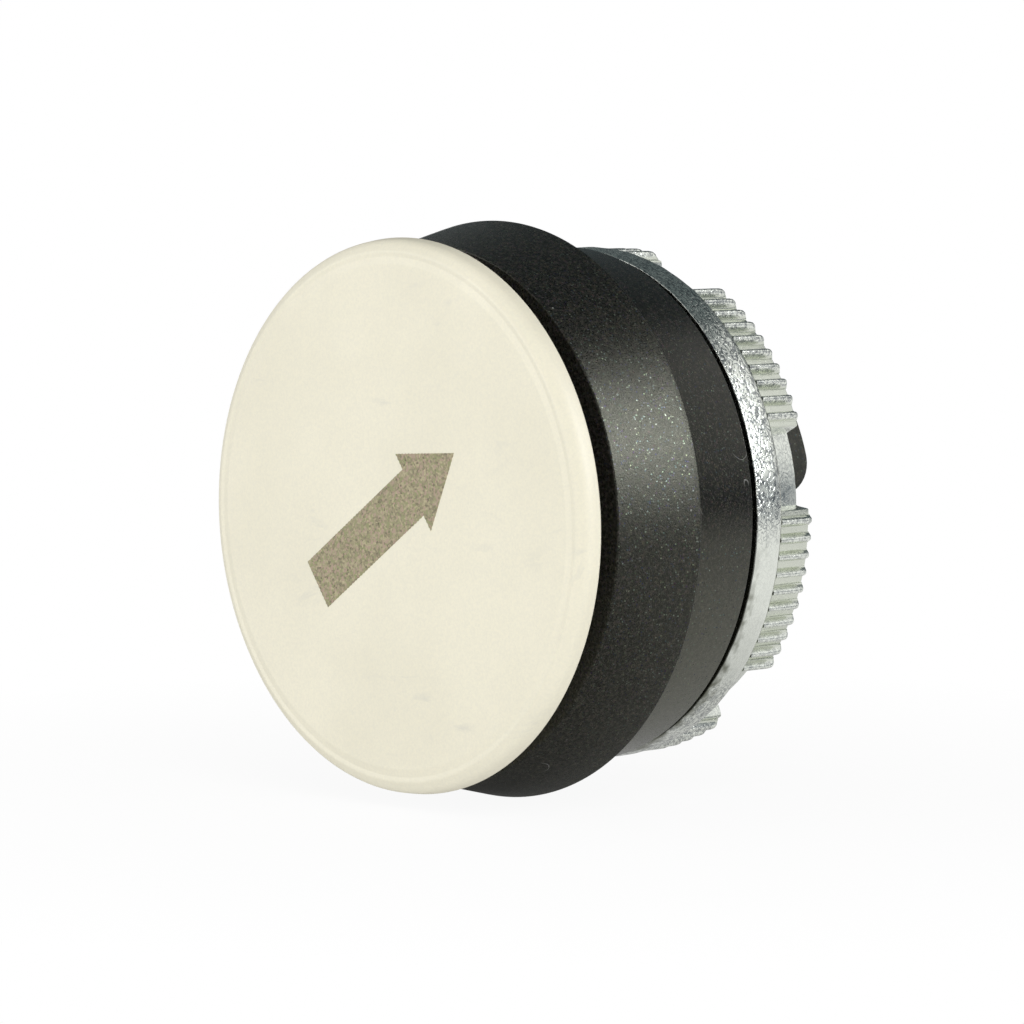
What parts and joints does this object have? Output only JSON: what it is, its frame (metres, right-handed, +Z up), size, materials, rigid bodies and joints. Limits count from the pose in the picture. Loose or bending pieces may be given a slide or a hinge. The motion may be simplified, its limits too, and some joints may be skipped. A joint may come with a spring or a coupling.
{
  "type": "panel push button",
  "caption": "Booted panel-mount push-button head: ivory arrow cap, flared black rubber boot, collar, gasket, threaded sleeve and ridged zinc ring nut.",
  "frame": {"origin": "centre of the panel hole, in the plane of the panel's front face (the gasket's rear face)", "axes": "+Y along the button's axis, from the cap to the back of the panel, which is the way the cap is pressed; +Z up; +X to the right for someone who faces the cap"},
  "size_m": [0.0316, 0.022, 0.0316],
  "materials": {
    "ivory": "moulded, satin, slightly yellowed white",
    "legend": "matt sandy grain, set in the cap's face",
    "boot_rubber": "black, matt, fine grain",
    "seal_rubber": "black, matt, moulded",
    "nylon": "black, satin, faintly speckled",
    "acetal": "natural white, satin",
    "zinc": "zinc die casting, bright, with a wrinkled crystalline skin",
    "steel": "zinc-plated steel, satin",
    "spring_steel": "drawn spring wire, bright"
  },
  "bodies": {
    "root": {"housing": "nylon", "boot": "boot_rubber", "panel_gasket": "seal_rubber", "flange_seal": "seal_rubber", "threaded_sleeve": "zinc", "plunger_guide": "nylon", "guide_seal": "seal_rubber", "return_spring": "spring_steel", "spring_seat": "steel", "coupling_ring": "nylon", "coupling_screw_1": "steel", "coupling_screw_2": "steel"},
    "button": {"cap": "ivory", "arrow_legend": "legend", "cap_carrier": "nylon", "clamp_washer": "steel", "plunger": "acetal", "cap_screw": "steel", "stop_clip": "steel"},
    "washer": {"key_washer": "steel"},
    "nut": {"ring_nut": "zinc"}
  },
  "joints": [
    {"name": "cap_press", "type": "slide", "parent": "root", "child": "button", "axis": [0, 1, 0], "range_m": [0, 0.003], "stiffness_N_per_m": 1000, "springref_m": -0.005, "deforming": ["boot", "return_spring"]},
    {"name": "nut_travel", "type": "slide", "parent": "root", "child": "washer", "axis": [0, 1, 0], "range_m": [0, 0.003]},
    {"name": "nut_turn", "type": "hinge", "parent": "washer", "child": "nut", "pos_m": [0, 0.0027, 0], "axis": [0, 1, 0], "range_deg": [0, 540]}
  ],
  "couplings": [
    {"joint": "nut_turn", "follows": "nut_travel", "rad_per_m": 3141.6}
  ]
}
